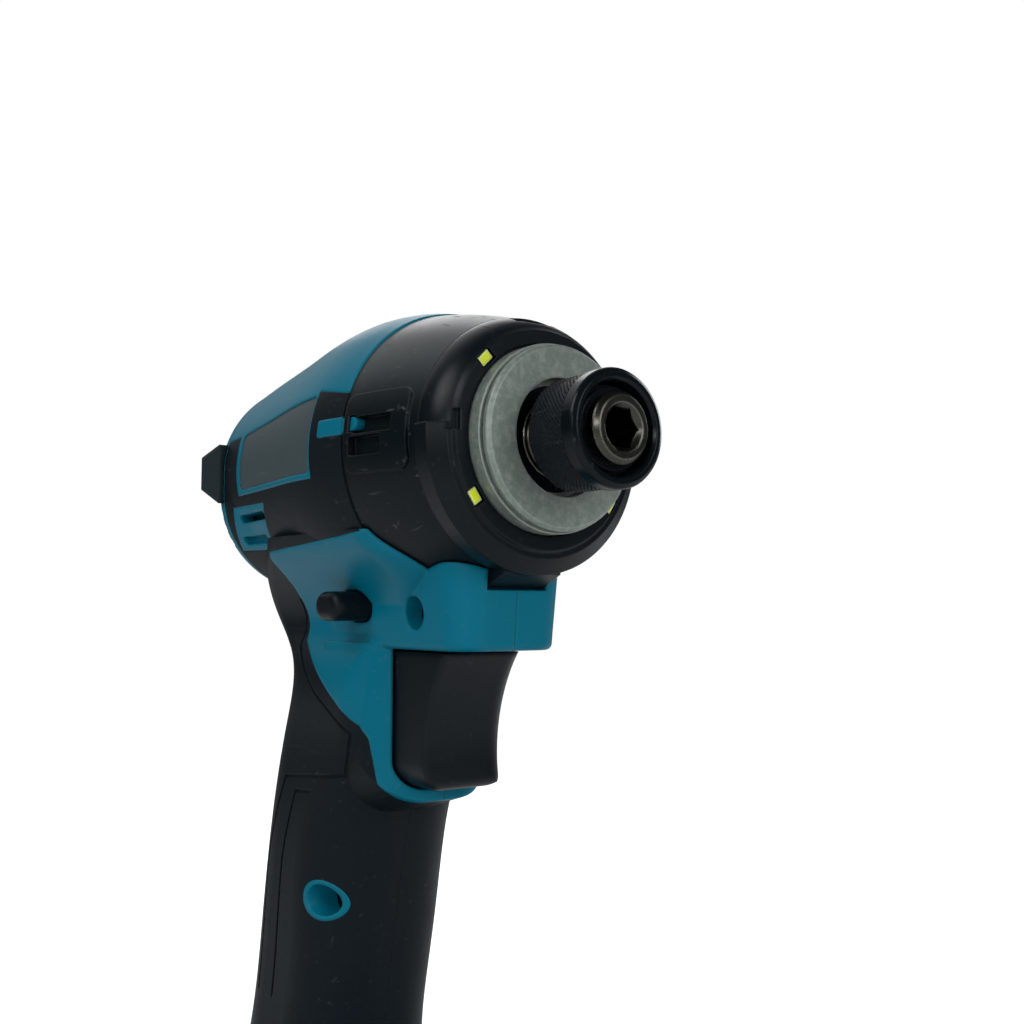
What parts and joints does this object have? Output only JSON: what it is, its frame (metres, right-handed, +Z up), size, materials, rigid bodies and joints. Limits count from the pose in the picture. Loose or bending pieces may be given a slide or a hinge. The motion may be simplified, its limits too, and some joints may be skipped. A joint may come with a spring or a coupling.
{
  "type": "cordless impact driver",
  "caption": "Pistol-grip cordless impact driver with a hex quick-change sleeve, lamp ring, trigger, direction lever and slide-on battery pack; drives screws by rotary blows.",
  "frame": {"origin": "centre of the bounding box at the base of the battery pack", "axes": "+X towards the nose along the drive axis, +Y to the tool's left, +Z up"},
  "size_m": [0.116, 0.075, 0.2401],
  "materials": {
    "teal": "satin moulded plastic, teal",
    "soft_black": "matt moulded elastomer",
    "black_plastic": "fine texture",
    "cover_plastic": "dark satin plastic",
    "cast_alloy": "bead blasted casting",
    "tool_steel": "ground and phosphated",
    "black_steel": "black oxide, gloss",
    "steel": "plain",
    "copper": "enamelled winding",
    "lamination": "stacked sheet",
    "plate": "bare printed film",
    "lamp": "yellow phosphor",
    "board": "circuit board",
    "cell": "shrink sleeve",
    "brass": "plain"
  },
  "bodies": {
    "tool": {"hammer_case": "cast_alloy", "anvil_bush": "black_steel", "case_cover": "cover_plastic", "lamp_ring": "black_plastic", "lamp_board": "board", "lamps": "lamp", "ring_gear": "tool_steel", "gear_plate": "black_plastic", "spindle_bearing": "steel", "front_bearing": "steel", "stator": "lamination", "stator_coils": "copper", "rear_bearing": "steel", "rear_cover": "teal", "rear_bumper": "soft_black", "housing_right": "teal", "housing_left": "teal", "soft_grip_right": "soft_black", "soft_grip_left": "soft_black", "data_plate": "plate", "housing_screws": "black_steel", "switch_unit": "black_plastic", "controller": "board", "terminal_block": "black_plastic", "leads": "soft_black", "hook_nuts": "brass"},
    "output": {"anvil": "tool_steel", "sleeve_clip": "black_steel", "sleeve_washer": "black_steel", "sleeve_spring": "steel", "detent_balls": "steel"},
    "sleeve": {"bit_sleeve": "black_steel"},
    "carrier": {"spindle": "tool_steel", "planet_pins": "steel", "cam_balls": "steel", "hammer_spring": "steel"},
    "hammer": {"hammer": "tool_steel"},
    "planet_left": {"planet_left": "tool_steel"},
    "planet_right": {"planet_right": "tool_steel"},
    "rotor": {"rotor": "lamination", "rotor_shaft": "tool_steel", "fan": "black_plastic"},
    "trigger": {"trigger": "black_plastic"},
    "lever": {"lever": "black_plastic"},
    "battery": {"battery_lower": "black_plastic", "battery_upper": "black_plastic", "battery_contacts": "brass", "battery_cells": "cell", "battery_screws": "black_steel"},
    "release": {"battery_button": "teal"}
  },
  "joints": [
    {"name": "spindle_spin", "type": "hinge", "parent": "tool", "child": "carrier", "pos_m": [0, 0, 0.212], "axis": [1, 0, 0], "continuous": true},
    {"name": "anvil_spin", "type": "hinge", "parent": "tool", "child": "output", "pos_m": [0, 0, 0.212], "axis": [1, 0, 0], "continuous": true},
    {"name": "rotor_spin", "type": "hinge", "parent": "tool", "child": "rotor", "pos_m": [0, 0, 0.212], "axis": [1, 0, 0], "continuous": true},
    {"name": "planet_left_spin", "type": "hinge", "parent": "carrier", "child": "planet_left", "pos_m": [0, 0.01125, 0.212], "axis": [1, 0, 0], "continuous": true},
    {"name": "planet_right_spin", "type": "hinge", "parent": "carrier", "child": "planet_right", "pos_m": [0, -0.01125, 0.212], "axis": [1, 0, 0], "continuous": true},
    {"name": "hammer_recoil", "type": "slide", "parent": "carrier", "child": "hammer", "axis": [-1, 0, 0], "range_m": [0, 0.005], "stiffness_N_per_m": 15000, "deforming": ["hammer_spring"]},
    {"name": "sleeve_pull", "type": "slide", "parent": "output", "child": "sleeve", "axis": [1, 0, 0], "range_m": [0, 0.003], "stiffness_N_per_m": 1500, "deforming": ["sleeve_spring"]},
    {"name": "trigger_pull", "type": "slide", "parent": "tool", "child": "trigger", "axis": [-1, 0, 0], "range_m": [0, 0.0065], "stiffness_N_per_m": 800},
    {"name": "lever_shift", "type": "slide", "parent": "tool", "child": "lever", "axis": [0, 1, 0], "range_m": [0, 0.0068]},
    {"name": "battery_slide", "type": "slide", "parent": "tool", "child": "battery", "axis": [1, 0, 0], "range_m": [0, 0.075]},
    {"name": "release_press", "type": "slide", "parent": "battery", "child": "release", "axis": [0, 0, -1], "range_m": [0, 0.0035], "stiffness_N_per_m": 1200}
  ],
  "couplings": [
    {"joint": "anvil_spin", "follows": "spindle_spin", "ratio": 1},
    {"joint": "rotor_spin", "follows": "spindle_spin", "ratio": 5},
    {"joint": "planet_left_spin", "follows": "spindle_spin", "ratio": -2.6667},
    {"joint": "planet_right_spin", "follows": "spindle_spin", "ratio": -2.6667}
  ]
}
